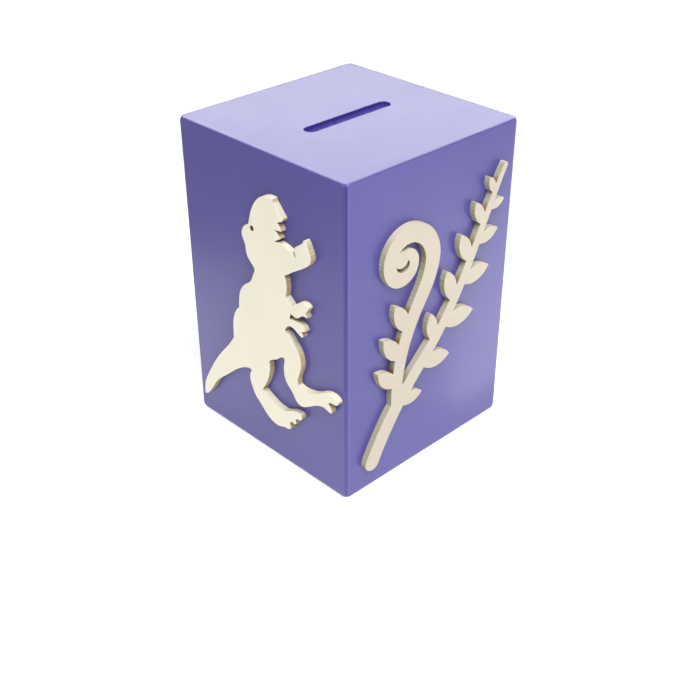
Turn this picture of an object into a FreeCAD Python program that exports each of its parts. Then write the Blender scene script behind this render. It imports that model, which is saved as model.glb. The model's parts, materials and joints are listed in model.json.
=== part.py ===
import FreeCAD, Part
import math
import os

from FreeCAD import Vector

# Wooden money box, square in plan, with two thin plywood cut-outs glued to its faces.
#
# Four walls, a top and a base make the box.  The walls are rebated together, the top
# steps down between them and the base sits in their grooves.  Headless steel brads hold
# the joints, a rubber stopper closes the coin hole in the base, a tyrannosaur cut-out is
# glued to the left face and a fern cut-out to the front face.
#
# The panels are drawn about the centre of the box's footprint, standing on z = 0.  The
# cut-outs stand proud of two faces only, so every shape is moved by FRAME_SHIFT on
# export, which puts the origin at the bottom centre of the whole object.  Units are
# millimetres.  +X is to the right, +Y to the back and +Z up; the front face looks
# along -Y.

# ---- driving dimensions ------------------------------------------------------------
WIDTH = 100.0            # outside, along X and along Y: the plan is square
HEIGHT = 147.0
WALL = 9.0               # thickness of the walls and of the top
EDGE_ROUND = 1.5         # sanded round on the upright and bottom outer edges
RIM_ROUND = 0.4          # the top's outer rim is only eased
LIP = 4.0                # wood left outside each rebate
BASE_RECESS = 3.0        # the walls' bottom edge stands this far below the base panel
BASE_THICK = 6.0
GROOVE_DEPTH = 4.0
BASE_PLAY = 0.2          # side play of the base panel in its grooves
TOP_PLAY = 0.1           # play of the top's stepped underside between the walls

SLOT_LENGTH = 48.0
SLOT_WIDTH = 6.0
SLOT_EASE = 0.4          # small bevel on the slot's upper edge

BRAD_RADIUS = 0.6
BRAD_HEAD_RADIUS = 0.9
BRAD_HEAD_THICK = 0.8
BRAD_LENGTH = 20.0
BRAD_SINK = 1.0          # heads are punched this far in, filled and painted over
WALL_BRAD_HEIGHTS = (20.0, 70.0, 118.0)
TOP_BRAD_OFFSET = 24.0   # top brads stand this far each side of a wall's middle

HOLE_RADIUS = 17.5       # coin hole in the base
STOPPER_PLAY = 0.1
FLANGE_RADIUS = 21.0
FLANGE_THICK = 2.0
FLANGE_ROUND = 0.8
STOPPER_STAND = 1.5      # the stopper's crown ends this far above the base panel
CUP_WALL = 2.0           # the stopper is a cup that opens downwards
CROWN_THICK = 2.0
RIB_PROUD = 0.35         # gripping ribs round the cup
RIB_HEIGHT = 1.4
GRIP_BAR = 3.0           # bar across the cup that finger and thumb pinch

CUTOUT_THICK = 2.8       # thin laser ply
EYE = (48.05, 112.8)
EYE_RADIUS = 1.15

HALF = WIDTH / 2
INNER = HALF - WALL                  # inside face of the walls
LIP_FACE = HALF - LIP                # bottom of the rebates
WALL_TOP = HEIGHT - LIP              # the top's lip rests here
BASE_TOP = BASE_RECESS + BASE_THICK
WALL_MIDDLE = HALF - WALL / 2
UP = Vector(0, 0, 1)
FRAME_SHIFT = Vector(CUTOUT_THICK / 2, CUTOUT_THICK / 2, 0)

# The tyrannosaur's outline on the left face.  Each row is one smooth stretch between two
# corners, and starts where the row before it ends.  First number: distance from the
# face's left edge; second: height above the table.
DINOSAUR = (
    # back of the head, crown, nostril step and upper lip
    ((45.9, 113.8), (46.6, 116.8), (47.8, 120.3), (49.6, 123.8), (52.2, 127.1),
     (55.4, 129.3), (58.8, 130.2), (61.7, 130.1)),
    ((61.7, 130.1), (62.0, 128.9)),
    ((62.0, 128.9), (67.3, 123.2)),
    ((67.3, 123.2), (67.0, 122.2)),
    ((67.0, 122.2), (64.1, 120.8)),
    # two teeth and the corner of the mouth
    ((64.1, 120.8), (65.2, 119.6), (66.1, 117.5)),
    ((66.1, 117.5), (62.1, 117.1)),
    ((62.1, 117.1), (64.2, 115.7), (65.3, 114.0)),
    ((65.3, 114.0), (62.0, 111.9)),
    # lower jaw
    ((62.0, 111.9), (64.6, 112.1), (67.3, 111.8), (70.8, 110.8), (74.3, 109.3)),
    ((74.3, 109.3), (73.9, 113.5)),
    ((73.9, 113.5), (78.8, 117.2)),
    ((78.8, 117.2), (79.1, 118.3)),
    ((79.1, 118.3), (79.8, 118.6)),
    ((79.8, 118.6), (81.2, 116.8), (82.4, 114.4), (83.2, 112.0), (82.9, 110.0),
     (81.6, 108.3), (77.9, 105.4), (73.7, 102.8), (70.4, 100.5), (67.3, 98.4)),
    # chest, upper arm and its two fingers
    ((67.3, 98.4), (68.1, 95.8), (68.2, 92.3), (67.6, 88.8)),
    ((67.6, 88.8), (71.2, 85.8)),
    ((71.2, 85.8), (74.1, 88.1), (76.4, 89.6), (78.8, 89.8), (81.2, 88.5)),
    ((81.2, 88.5), (79.4, 85.7)),
    ((79.4, 85.7), (80.3, 84.0)),
    ((80.3, 84.0), (78.4, 84.1), (77.0, 83.6), (75.2, 82.0), (73.6, 81.3),
     (71.8, 81.5), (70.2, 82.1)),
    ((70.2, 82.1), (69.5, 79.3)),
    # lower arm and its two fingers
    ((69.5, 79.3), (72.6, 79.7), (75.6, 79.5), (77.7, 78.5), (78.9, 76.9)),
    ((78.9, 76.9), (76.6, 75.9)),
    ((76.6, 75.9), (77.6, 74.6), (77.1, 73.5)),
    ((77.1, 73.5), (74.8, 74.2), (73.0, 75.2), (71.2, 75.7), (69.2, 75.6),
     (67.6, 74.5), (66.4, 72.2)),
    # belly and near thigh, down to the heel
    ((66.4, 72.2), (69.1, 70.8), (71.2, 68.7), (73.4, 66.2), (74.9, 63.6),
     (75.7, 60.8), (75.7, 58.1), (74.9, 55.1), (74.0, 52.7), (73.4, 50.3),
     (73.8, 48.3)),
    # near foot and toes
    ((73.8, 48.3), (76.3, 47.7), (79.3, 47.9), (82.8, 48.8), (85.8, 50.1),
     (88.5, 51.7), (91.1, 52.8), (93.8, 53.1), (96.3, 52.5), (98.1, 51.1)),
    ((98.1, 51.1), (97.1, 49.7), (95.0, 49.3), (93.4, 49.1), (92.2, 48.0)),
    ((92.2, 48.0), (93.5, 46.8), (94.0, 44.1)),
    ((94.0, 44.1), (92.0, 44.2), (89.4, 44.8), (86.7, 44.3), (84.0, 43.0),
     (78.5, 39.6), (76.2, 38.6), (74.3, 38.5), (72.7, 39.3), (69.9, 42.8),
     (66.6, 46.0), (65.4, 48.0), (64.9, 50.5), (64.8, 53.0), (65.5, 57.2)),
    ((65.5, 57.2), (64.9, 58.0), (63.8, 57.9), (60.7, 55.5), (56.6, 53.2), (55.2, 51.8)),
    # far thigh, foot and toes
    ((55.2, 51.8), (55.5, 49.3), (55.1, 45.8), (54.1, 42.4), (52.6, 39.3), (50.1, 35.0)),
    ((50.1, 35.0), (52.3, 33.7), (55.3, 32.3), (58.3, 31.2), (61.3, 30.5),
     (63.8, 30.5), (66.2, 31.3), (68.8, 32.6), (71.4, 33.6), (73.8, 33.7),
     (75.2, 32.7), (75.2, 31.2)),
    ((75.2, 31.2), (74.0, 30.3), (72.2, 30.0), (71.4, 29.0)),
    ((71.4, 29.0), (71.8, 27.0)),
    ((71.8, 27.0), (70.2, 26.7), (68.5, 26.6), (67.5, 25.6)),
    ((67.5, 25.6), (67.9, 24.0), (67.8, 22.6)),
    ((67.8, 22.6), (66.5, 21.8), (64.7, 21.6), (60.3, 20.3), (58.3, 20.2),
     (56.1, 20.6), (53.9, 21.5), (51.7, 23.0), (47.2, 27.1), (45.0, 29.0),
     (43.4, 31.5), (42.2, 34.4), (41.5, 37.2), (41.7, 39.1), (43.0, 41.6)),
    # tail
    ((43.0, 41.6), (41.6, 42.0), (39.8, 41.6), (34.8, 39.0), (29.4, 34.8),
     (23.0, 29.2), (17.3, 24.1), (13.0, 18.0), (9.4, 13.3), (8.0, 12.2),
     (6.9, 12.4), (6.7, 13.8), (7.6, 18.8), (10.8, 25.3), (20.2, 39.6),
     (29.0, 50.2), (31.4, 53.6)),
    # two humps of the back, neck and brow
    ((31.4, 53.6), (31.6, 58.0), (32.0, 62.8), (33.4, 67.0), (36.6, 71.2)),
    ((36.6, 71.2), (37.0, 75.8), (38.2, 80.2), (41.8, 84.6), (45.8, 88.0),
     (47.2, 91.0), (48.4, 94.2), (45.8, 97.0), (43.6, 100.2), (43.0, 104.2),
     (41.3, 107.6), (42.0, 110.8), (45.9, 113.8)),
)

# The fern on the front face: hand-placed centre lines, each point as (distance from the
# face's left edge, height above the table, width of the stalk there).
FROND = ((13.0, 15.0, 8.4), (22.0, 30.0, 8.4), (35.0, 46.0, 7.4), (49.0, 60.0, 6.4),
         (61.0, 75.0, 5.6), (71.0, 92.0, 4.8), (80.0, 110.0, 4.0), (90.5, 129.5, 2.6))
CROZIER = ((27.0, 36.5, 6.0), (27.5, 50.0, 6.6), (30.5, 65.0, 7.2), (37.0, 80.0, 8.0),
           (44.5, 93.0, 8.6), (46.9, 103.0, 8.8))
COIL_CENTRE = (30.5, 105.0)
COIL_START = -7.0                # degrees, where the crozier runs into its coil
COIL_TURN = 500.0                # degrees, wound anticlockwise
COIL_RADII = (16.5, 3.2)         # centre line, at the start and at the end
COIL_WIDTHS = (8.8, 4.2)         # stalk, at the start and at the end
BULB_RADIUS = 3.8
# Leaves as (share of the stalk's length, side, leaf length); +1 is the left side.
FROND_LEAVES = ((0.20, -1, 15.0), (0.34, -1, 19.0), (0.42, 1, 15.0), (0.48, -1, 20.0),
                (0.56, 1, 17.0), (0.62, -1, 18.0), (0.69, 1, 16.0), (0.75, -1, 14.0),
                (0.81, 1, 13.0), (0.86, -1, 10.0), (0.91, 1, 9.0))
CROZIER_LEAVES = ((0.16, 1, 16.0), (0.34, 1, 17.0), (0.52, 1, 17.0))
LEAF_ANGLE = 52.0                # degrees between a leaf and its stalk
LEAF_FATNESS = 0.44              # width over length
LEAF_BELLY = 0.45                # share of the length where a leaf is widest
STALK_SAMPLES = 22
COIL_SAMPLES = 60


# ---- helpers -----------------------------------------------------------------------
def block(x0, x1, y0, y1, z0, z1):
    return Part.makeBox(x1 - x0, y1 - y0, z1 - z0, Vector(x0, y0, z0))


def disc(radius, z0, z1):
    """An upright cylinder on the stopper's axis."""
    return Part.makeCylinder(radius, z1 - z0, Vector(0, 0, z0))


def on_rim(edge):
    return edge.BoundBox.ZMin > HEIGHT - RIM_ROUND


def outer_form():
    """The whole box as one solid with every edge rounded; panels are trimmed by it."""
    form = block(-HALF, HALF, -HALF, HALF, 0, HEIGHT)
    form = form.makeFillet(EDGE_ROUND, [e for e in form.Edges if not on_rim(e)])
    return form.makeFillet(RIM_ROUND, [e for e in form.Edges if on_rim(e)])


def turned(shape, quarter_turns):
    copy = shape.copy()
    copy.rotate(Vector(0, 0, 0), UP, 90 * quarter_turns)
    return copy


def export(name, shape):
    """Writes one node, which may hold several separate solids."""
    if not shape.isValid():
        raise ValueError(name + " is not a valid shape")
    solids = [s.copy() for s in shape.Solids]
    for solid in solids:
        solid.translate(FRAME_SHIFT)
    out = solids[0] if len(solids) == 1 else Part.makeCompound(solids)
    out.exportStep(os.path.join("parts", name + ".step"))
    print("%-18s %2d solid(s) %9.0f mm3" % (name, len(solids), shape.Volume))


def smooth(points):
    """An edge through the points: a straight line for two, else one smooth curve."""
    if len(points) == 2:
        return Part.LineSegment(points[0], points[1]).toShape()
    curve = Part.BSplineCurve()
    curve.interpolate(points)
    return curve.toShape()


# ---- brads -------------------------------------------------------------------------
def brad(tip, direction):
    """A headless nail: a thin shank from its tip, with a slightly wider head."""
    shank = Part.makeCylinder(BRAD_RADIUS, BRAD_LENGTH, tip, direction)
    head_place = tip + direction * (BRAD_LENGTH - BRAD_HEAD_THICK)
    head = Part.makeCylinder(BRAD_HEAD_RADIUS, BRAD_HEAD_THICK, head_place, direction)
    return shank.fuse(head)


def front_brads():
    """Through the front wall's two lips into the ends of the side walls."""
    tip_y = BRAD_SINK + BRAD_LENGTH - HALF
    tips = [Vector(x, tip_y, z) for x in (-WALL_MIDDLE, WALL_MIDDLE) for z in WALL_BRAD_HEIGHTS]
    return Part.makeCompound([brad(tip, Vector(0, -1, 0)) for tip in tips])


def top_brads():
    """Down through the top's lip into the walls' upper edges, two to a wall."""
    tip_z = HEIGHT - BRAD_SINK - BRAD_LENGTH
    pair = [brad(Vector(x, -WALL_MIDDLE, tip_z), UP) for x in (-TOP_BRAD_OFFSET, TOP_BRAD_OFFSET)]
    return Part.makeCompound([turned(b, quarter) for quarter in range(4) for b in pair])


# ---- panels ------------------------------------------------------------------------
def front_wall(form, brads):
    """Full width, rebated at both ends for the side walls, grooved for the base."""
    wall = block(-HALF, HALF, -HALF, -INNER, 0, WALL_TOP)
    for x0 in (-HALF, INNER):
        wall = wall.cut(block(x0, x0 + WALL, -LIP_FACE, -INNER, 0, WALL_TOP))
    groove = block(-INNER, INNER, -INNER - GROOVE_DEPTH, -INNER, BASE_RECESS, BASE_TOP)
    return wall.cut(groove).common(form).cut(brads)


def left_wall(form, brads):
    """Plain board between the front and back walls, grooved for the base."""
    wall = block(-HALF, -INNER, -LIP_FACE, LIP_FACE, 0, WALL_TOP)
    groove = block(-INNER - GROOVE_DEPTH, -INNER, -LIP_FACE, LIP_FACE, BASE_RECESS, BASE_TOP)
    return wall.cut(groove).common(form).cut(brads)


def capsule(half_width, level):
    """Outline of the coin slot, straight with round ends, at one height."""
    reach = (SLOT_LENGTH - SLOT_WIDTH) / 2
    front_left = Vector(-reach, -half_width, level)
    front_right = Vector(reach, -half_width, level)
    back_right = Vector(reach, half_width, level)
    back_left = Vector(-reach, half_width, level)
    right_end = Part.Arc(front_right, Vector(reach + half_width, 0, level), back_right)
    left_end = Part.Arc(back_left, Vector(-reach - half_width, 0, level), front_left)
    return Part.Wire([Part.makeLine(front_left, front_right), right_end.toShape(),
                      Part.makeLine(back_right, back_left), left_end.toShape()])


def coin_slot():
    """The slot's hollow, right through the top, with a bevelled mouth."""
    half_width = SLOT_WIDTH / 2
    well = Part.Face(capsule(half_width, HEIGHT - 2 * WALL)).extrude(UP * (3 * WALL))
    throat = capsule(half_width, HEIGHT - SLOT_EASE)
    above = capsule(half_width + 2 * SLOT_EASE, HEIGHT + SLOT_EASE)
    return well.fuse(Part.makeLoft([throat, above], True))


def top_panel(form, brads):
    """A lip that covers the walls, and a step below it that fits between them."""
    step = INNER - TOP_PLAY
    panel = block(-HALF, HALF, -HALF, HALF, WALL_TOP, HEIGHT)
    panel = panel.fuse(block(-step, step, -step, step, HEIGHT - WALL, WALL_TOP))
    return panel.removeSplitter().common(form).cut(coin_slot()).cut(brads)


def base_panel():
    """Loose in the walls' grooves, with the round coin hole."""
    reach = INNER + GROOVE_DEPTH - BASE_PLAY
    panel = block(-reach, reach, -reach, reach, BASE_RECESS, BASE_TOP)
    return panel.cut(disc(HOLE_RADIUS, 0, HEIGHT))


def stopper():
    """Rubber plug: flange under the base, ribbed cup in the hole, bar across the cup."""
    bottom = BASE_RECESS - FLANGE_THICK
    crown = BASE_TOP + STOPPER_STAND
    rib_radius = HOLE_RADIUS - STOPPER_PLAY
    neck_radius = rib_radius - RIB_PROUD
    cup_radius = neck_radius - CUP_WALL
    flange = disc(FLANGE_RADIUS, bottom, BASE_RECESS)
    rims = [e for e in flange.Edges if e.Curve.TypeId == "Part::GeomCircle"]
    flange = flange.makeFillet(FLANGE_ROUND, rims)
    ribs = [disc(rib_radius, z, z + RIB_HEIGHT) for z in (BASE_RECESS, BASE_TOP - RIB_HEIGHT)]
    plug = disc(neck_radius, bottom, crown).fuse([flange] + ribs).removeSplitter()
    hollow = disc(cup_radius, 0, crown - CROWN_THICK)
    half_bar = GRIP_BAR / 2
    hollow = hollow.cut(block(-HALF, HALF, -half_bar, half_bar, 0, HEIGHT))
    return plug.cut(hollow)


# ---- cut-outs ----------------------------------------------------------------------
def on_left(u, v):
    """A point of the left face, seen from outside."""
    return Vector(-HALF, HALF - u, v)


def on_front(u, v):
    """A point of the front face, seen from outside."""
    return Vector(u - HALF, -HALF, v)


def dinosaur_cutout():
    """The tyrannosaur, cut from thin ply and glued to the left face."""
    outward = Vector(-1, 0, 0)
    edges = [smooth([on_left(u, v) for u, v in stretch]) for stretch in DINOSAUR]
    plate = Part.Face(Part.Wire(edges)).extrude(outward * CUTOUT_THICK)
    return plate.cut(Part.makeCylinder(EYE_RADIUS, CUTOUT_THICK, on_left(*EYE), outward))


def beside(heading):
    """Unit vector in the front face's plane, to the left of a heading."""
    return Vector(-heading.z, 0, heading.x)


def centre_line(points):
    curve = Part.BSplineCurve()
    curve.interpolate([on_front(u, v) for u, v, _ in points])
    return curve


def at_share(curve, share):
    """Point and unit heading at a share of the curve's parameter range."""
    place = curve.FirstParameter + share * (curve.LastParameter - curve.FirstParameter)
    return curve.value(place), Vector(curve.tangent(place)[0]).normalize()


def width_at(points, share):
    """Width between the hand-placed ones, in proportion."""
    place = share * (len(points) - 1)
    before = min(int(place), len(points) - 2)
    rest = place - before
    return points[before][2] * (1 - rest) + points[before + 1][2] * rest


def band(middle, headings, widths):
    """A closed face round a centre line, with round ends."""
    left = [p + beside(h) * (w / 2) for p, h, w in zip(middle, headings, widths)]
    right = [p - beside(h) * (w / 2) for p, h, w in zip(middle, headings, widths)]
    start = middle[0] - headings[0] * (widths[0] / 2)
    end = middle[-1] + headings[-1] * (widths[-1] / 2)
    end_cap = Part.Arc(left[-1], end, right[-1]).toShape()
    start_cap = Part.Arc(right[0], start, left[0]).toShape()
    return Part.Face(Part.Wire([smooth(left), end_cap, smooth(right[::-1]), start_cap]))


def stalk(points):
    """A stalk of changing width along its hand-placed centre line."""
    curve = centre_line(points)
    shares = [i / (STALK_SAMPLES - 1) for i in range(STALK_SAMPLES)]
    middle, headings = zip(*[at_share(curve, s) for s in shares])
    return band(middle, headings, [width_at(points, s) for s in shares])


def coil():
    """The fern's rolled tip: an equiangular spiral that narrows to a round bulb."""
    start_radius, end_radius = COIL_RADII
    start_width, end_width = COIL_WIDTHS
    shrink = math.log(end_radius / start_radius) / math.radians(COIL_TURN)
    middle, headings, widths = [], [], []
    for i in range(COIL_SAMPLES):
        share = i / (COIL_SAMPLES - 1)
        angle = math.radians(COIL_START + COIL_TURN * share)
        radius = start_radius * (end_radius / start_radius) ** share
        outward = Vector(math.cos(angle), 0, math.sin(angle))
        middle.append(on_front(*COIL_CENTRE) + outward * radius)
        headings.append((beside(outward) + outward * shrink).normalize())
        widths.append(start_width + (end_width - start_width) * share)
    return band(middle, headings, widths), middle[-1]


def leaf(root, direction, length):
    """A pointed leaf: two arcs from its root to its tip."""
    tip = root + direction * length
    belly = root + direction * (length * LEAF_BELLY)
    bulge = beside(direction) * (length * LEAF_FATNESS / 2)
    upper = Part.Arc(root, belly + bulge, tip).toShape()
    lower = Part.Arc(tip, belly - bulge, root).toShape()
    return Part.Face(Part.Wire([upper, lower]))


def leaves_along(points, places):
    """Leaves that leave a stalk at one angle, to its left or right."""
    curve = centre_line(points)
    turn = math.radians(LEAF_ANGLE)
    made = []
    for share, side, length in places:
        root, heading = at_share(curve, share)
        direction = heading * math.cos(turn) + beside(heading) * (side * math.sin(turn))
        made.append(leaf(root, direction, length))
    return made


def fern_cutout():
    """One piece of thin ply glued to the front face: frond, crozier, coil and leaves."""
    outward = Vector(0, -1, 0)
    rolled, coil_end = coil()
    faces = [stalk(FROND), stalk(CROZIER), rolled]
    faces += leaves_along(FROND, FROND_LEAVES) + leaves_along(CROZIER, CROZIER_LEAVES)
    solids = [f.extrude(outward * CUTOUT_THICK) for f in faces]
    solids.append(Part.makeCylinder(BULB_RADIUS, CUTOUT_THICK, coil_end, outward))
    return solids[0].fuse(solids[1:]).removeSplitter()


# ---- build -------------------------------------------------------------------------
def main():
    os.makedirs("parts", exist_ok=True)
    form = outer_form()
    front_pins = front_brads()
    back_pins = turned(front_pins, 2)
    top_pins = top_brads()
    brads = Part.makeCompound(front_pins.Solids + back_pins.Solids + top_pins.Solids)
    front = front_wall(form, brads)
    left = left_wall(form, brads)
    export("front_wall", front)
    export("back_wall", turned(front, 2))
    export("left_wall", left)
    export("right_wall", turned(left, 2))
    export("top_panel", top_panel(form, brads))
    export("base_panel", base_panel())
    export("stopper", stopper())
    export("front_wall_brads", front_pins)
    export("back_wall_brads", back_pins)
    export("top_brads", top_pins)
    export("dinosaur_cutout", dinosaur_cutout())
    export("fern_cutout", fern_cutout())


main()
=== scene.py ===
import json
import math

import bmesh
import bpy
import numpy as np
from mathutils import Matrix, Vector, noise

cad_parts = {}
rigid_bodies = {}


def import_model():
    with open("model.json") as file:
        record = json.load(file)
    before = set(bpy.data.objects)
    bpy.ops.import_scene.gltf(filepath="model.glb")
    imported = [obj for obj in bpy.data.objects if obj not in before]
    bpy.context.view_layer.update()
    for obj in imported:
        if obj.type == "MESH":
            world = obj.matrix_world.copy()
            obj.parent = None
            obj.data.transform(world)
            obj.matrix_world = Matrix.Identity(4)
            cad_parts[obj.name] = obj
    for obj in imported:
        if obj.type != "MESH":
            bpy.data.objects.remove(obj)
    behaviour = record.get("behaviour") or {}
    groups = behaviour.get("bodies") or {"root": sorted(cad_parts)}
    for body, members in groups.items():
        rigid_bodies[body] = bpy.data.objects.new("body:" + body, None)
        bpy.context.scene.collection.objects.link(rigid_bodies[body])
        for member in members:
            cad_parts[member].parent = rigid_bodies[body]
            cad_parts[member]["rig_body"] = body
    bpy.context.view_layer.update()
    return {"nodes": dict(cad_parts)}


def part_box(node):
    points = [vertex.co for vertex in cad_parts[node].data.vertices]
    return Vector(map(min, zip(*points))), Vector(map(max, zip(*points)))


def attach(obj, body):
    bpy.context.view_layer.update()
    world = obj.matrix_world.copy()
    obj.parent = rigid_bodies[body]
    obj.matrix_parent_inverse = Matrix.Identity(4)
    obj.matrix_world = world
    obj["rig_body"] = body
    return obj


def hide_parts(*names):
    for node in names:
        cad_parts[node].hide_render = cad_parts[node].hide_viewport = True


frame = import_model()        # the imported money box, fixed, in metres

# The painted boards, the two thin applied shapes, the ply base and the rubber stopper are
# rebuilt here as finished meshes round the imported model.  Shapes are worked out in
# millimetres about the box's own upright axis, and written in metres in the row frame.
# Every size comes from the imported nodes, or is one of the finishing sizes named below.

MM = 0.001

# Painted boards.  Sizes are in millimetres where nothing else is said.
EDGE_ROUND = 1.5           # sanded round on the painted box
TOP_EASE = 1.5             # the top's rim slopes off over this width before it turns down
TOP_DROP = 0.10            # how far that slope falls
TOP_TURN = 0.3             # radius of that turn
TOP_TURN_SPAN = 84.0       # degrees: the turn stops a little short of level
CORNER_REACH = 2.8         # the eight corners are sanded softer, from this far along each edge
CORNER_CUTS = (2.8, 2.5, 2.2, 1.95, 1.7)   # mesh rows there, by distance from the faces
SANDING_DEPTH = 0.10       # unevenness of the hand-sanded upright edges
SANDING_PITCH = 9.0        # height of one of its waves
SANDING_START = 6.0        # the unevenness begins this far up, and fades in and out
SANDING_FADE = 10.0
BASE_PLAY = 0.2            # the base panel's side play in the walls' grooves
TOP_PLAY = 0.1             # play of the top's step between the walls
BARE_MARGIN = 0.3          # paint creeps this far round the walls' inner edges

# The coin slot.
SLOT_EASE = 0.4            # small bevel on the slot's upper edge
SLOT_MOUTH = 0.3           # share of the ease where its middle row lies
SLOT_ROUGHNESS = 0.24      # torn fibres on the slot's walls
MOUTH_ROUGHNESS = (0.12, 0.18)   # the same on the bevel's top and middle rows
SLOT_FIBRES = ((1.1, 0.8, 3.0, 1.0), (0.45, 0.5, -3.0, 0.6))   # length, height, seed, share
SLOT_PAINT_START = 0.3     # the slot's own paint starts this far down

# Applied shapes.
RIM_EASE = 0.2             # paint rolls over the applied shapes' front edge
CORNER_TURN = 24.0         # degrees: a sharper turn of the outline is a corner
CORNER_CLEAR = 0.42        # no outline point lies nearer to a corner than this
SHORT_STRETCH = 1.05       # a shorter stretch between corners stays straight
RIB_PITCH = 0.55           # ribs that the laser leaves across a cut edge
RIB_DEPTH = 0.05
RIB_LEAN = 0.06            # sideways lean of the ribs over their height
RIB_LEVEL = 0.45           # mean depth, as a share
COARSE_RIBS = 0.8          # how much the coarse and the fine ribs add to it
FINE_RIBS = 0.35
FINE_RIB_PITCH = 0.45      # over the coarse ribs' pitch
CHAR_AND_SHADE_REACH = 4.0           # edges that face each other nearer than this are darker: laser char, and a painted shade in the narrow gap
CHAR_AND_SHADE_STEP = 0.5            # probes go out from an edge in steps of this
FACING, FACING_BLUR = 0.8, 0.4   # a probe this much nearer to another edge faces that edge

# Base and stopper.
BASE_EASE = 0.35           # round on the coin hole's rims
STOPPER_NECK = 0.35        # the neck is this much slimmer than the gripping ribs
STOPPER_RIB = 0.34         # the ribs' swell
STOPPER_RIB_HALF = 0.7     # half their height
CUP_WALL = 2.0
CROWN_THICK = 2.0
CROWN_ROUND = 0.7
FLANGE_ROUND = 0.8
HALF_GRIP_BAR = 1.5
# Inset and height of the stopper's two hollows: up from the mouth, and down from the roof.
MOUTH_ROWS = ((-0.35, 0), (-0.1, 0.1), (0, 0.35))
ROOF_ROWS = ((0, 1.0), (0.3, 0.3), (1.0, 0))

# Fineness of the meshes.
FILLET_STEPS = 8
LEVEL_STEP = 4.0           # spacing of the boards' mesh rows
TOP_EDGE_STEPS = 24
SLOT_STEP = 0.8            # along the slot
SLOT_ROW_STEP = 0.6        # down the slot
SLOT_ARC_STEP = 9          # degrees round its ends
OUTLINE_STEP = 0.16        # spacing of points along a cut edge
CHAR_AND_SHADE_THINNING = 3          # only every third outline point is asked how near it is
CHAR_AND_SHADE_BATCH = 400           # points asked at a time
BASE_STEP = 6.0
LATHE_STEPS = 112
WELL_STEPS = 40
SHARP_ANGLE = math.radians(38)
SAME_PLACE = 1e-4          # points nearer than this are one point
TINY = 1e-6                # keeps a division off zero


# ---- the frame, in millimetres about the box's axis ---------------------------------
def axis_point():
    low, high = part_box("top_panel")
    return Vector(((low.x + high.x) / 2, (low.y + high.y) / 2, 0))


AXIS = axis_point()


def extent(node):
    """A node's lowest and highest corners in millimetres about the box's axis."""
    low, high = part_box(node)
    return (low - AXIS) / MM, (high - AXIS) / MM


def node_points(node):
    """A node's vertices in millimetres about the box's axis."""
    mesh = frame["nodes"][node].data
    points = np.empty(len(mesh.vertices) * 3)
    mesh.vertices.foreach_get("co", points)
    return (points.reshape(-1, 3) - np.array(AXIS)) / MM


TOP_LOW, TOP_HIGH = extent("top_panel")
HALF = TOP_HIGH.x
HEIGHT = TOP_HIGH.z
TOP_UNDER = TOP_LOW.z
WALL_TOP = extent("front_wall")[1].z
INNER = -extent("front_wall")[1].y
LIP_FACE = extent("left_wall")[1].y
BASE_LOW, BASE_HIGH = extent("base_panel")
GROOVE_FACE = BASE_HIGH.x + BASE_PLAY
STEP_FACE = INNER - TOP_PLAY


# ---- mesh helpers -------------------------------------------------------------------
def ring_of(bm, points):
    return [bm.verts.new(p) for p in points]


def strip(bm, lower, upper):
    """Quads between two closed rings of the same number of points."""
    for i in range(len(lower)):
        j = (i + 1) % len(lower)
        bm.faces.new((lower[i], lower[j], upper[j], upper[i]))


def loft(bm, rings):
    """Closed rings of points joined in order; returns them as rings of vertices."""
    made = [ring_of(bm, points) for points in rings]
    for lower, upper in zip(made, made[1:]):
        strip(bm, lower, upper)
    return made


def fill_flat(bm, axis, level):
    """Fills the open loops that lie in one plane, leaving loops inside them as holes."""
    edges = [e for e in bm.edges
             if e.is_boundary and all(abs(v.co[axis] - level) < SAME_PLACE for v in e.verts)]
    bmesh.ops.triangle_fill(bm, use_beauty=True, use_dissolve=False, edges=edges)


def finish_piece(name, bm, materials, node, turn=0.0):
    """Turns a mesh worked out in millimetres into a piece that stands for a CAD node."""
    bmesh.ops.remove_doubles(bm, verts=bm.verts, dist=SAME_PLACE)
    bmesh.ops.recalc_face_normals(bm, faces=bm.faces)
    place = Matrix.Translation(AXIS) @ Matrix.Rotation(turn, 4, "Z") @ Matrix.Scale(MM, 4)
    bm.transform(place)
    mesh = bpy.data.meshes.new(name)
    bm.to_mesh(mesh)
    bm.free()
    for material in materials:
        mesh.materials.append(material)
    mesh.shade_smooth()
    mesh.set_sharp_from_angle(angle=SHARP_ANGLE)
    piece = bpy.data.objects.new(name, mesh)
    bpy.context.scene.collection.objects.link(piece)
    even = piece.modifiers.new("even_normals", "WEIGHTED_NORMAL")
    even.keep_sharp = True
    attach(piece, frame["nodes"][node]["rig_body"])
    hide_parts(node)
    return piece


def even_steps(start, end, step):
    """Values from start to end, both kept, about a step apart."""
    count = max(1, round(abs(end - start) / step))
    return [start + (end - start) * i / count for i in range(count + 1)]


# ---- painted boards -----------------------------------------------------------------
def bottom_rows():
    """(inset, height) up the rounded bottom edge of a wall."""
    rows = []
    for i in range(FILLET_STEPS + 1):
        angle = math.radians(90 * i / FILLET_STEPS)
        rows.append((EDGE_ROUND * (1 - math.sin(angle)), EDGE_ROUND * (1 - math.cos(angle))))
    return rows


def top_rim_rows():
    """(inset, height) up the top's rim: a tight turn, then a slope that fades into the flat."""
    rows = []
    turn_level = HEIGHT - TOP_DROP - TOP_TURN
    for i in range(FILLET_STEPS + 1):
        angle = math.radians(TOP_TURN_SPAN * i / FILLET_STEPS)
        rows.append((TOP_TURN * (1 - math.cos(angle)), turn_level + TOP_TURN * math.sin(angle)))
    inset, height = rows[-1]
    for share in (0.25, 0.5, 0.75, 1.0):
        rows.append((inset + (TOP_EASE - inset) * share,
                     height + (HEIGHT - height) * (1 - (1 - share) ** 2)))
    return rows


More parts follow.
